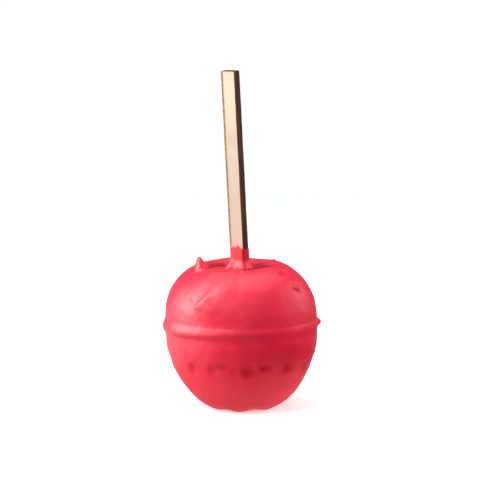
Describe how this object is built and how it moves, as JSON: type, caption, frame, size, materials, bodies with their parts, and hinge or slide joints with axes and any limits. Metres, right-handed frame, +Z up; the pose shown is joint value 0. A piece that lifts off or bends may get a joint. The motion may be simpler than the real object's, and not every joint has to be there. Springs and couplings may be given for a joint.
{
  "type": "toffee apple",
  "caption": "Whole apple under a smooth candy coating with a raised band, a drawn-up drip and dimples, held on a flat wooden stick.",
  "frame": {"origin": "on the table under the middle of the apple, where its base lobes rest", "axes": "+Z up along the apple and its stick, -Y towards the front, +X to the right"},
  "size_m": [0.0792, 0.0772, 0.1698],
  "materials": {
    "coating": "satin, opaque pinkish red candy coating",
    "wood": "pale bare wood with dark scorched edges"
  },
  "bodies": {
    "root": {"coated_apple": "coating", "stick": "wood"}
  },
  "joints": []
}
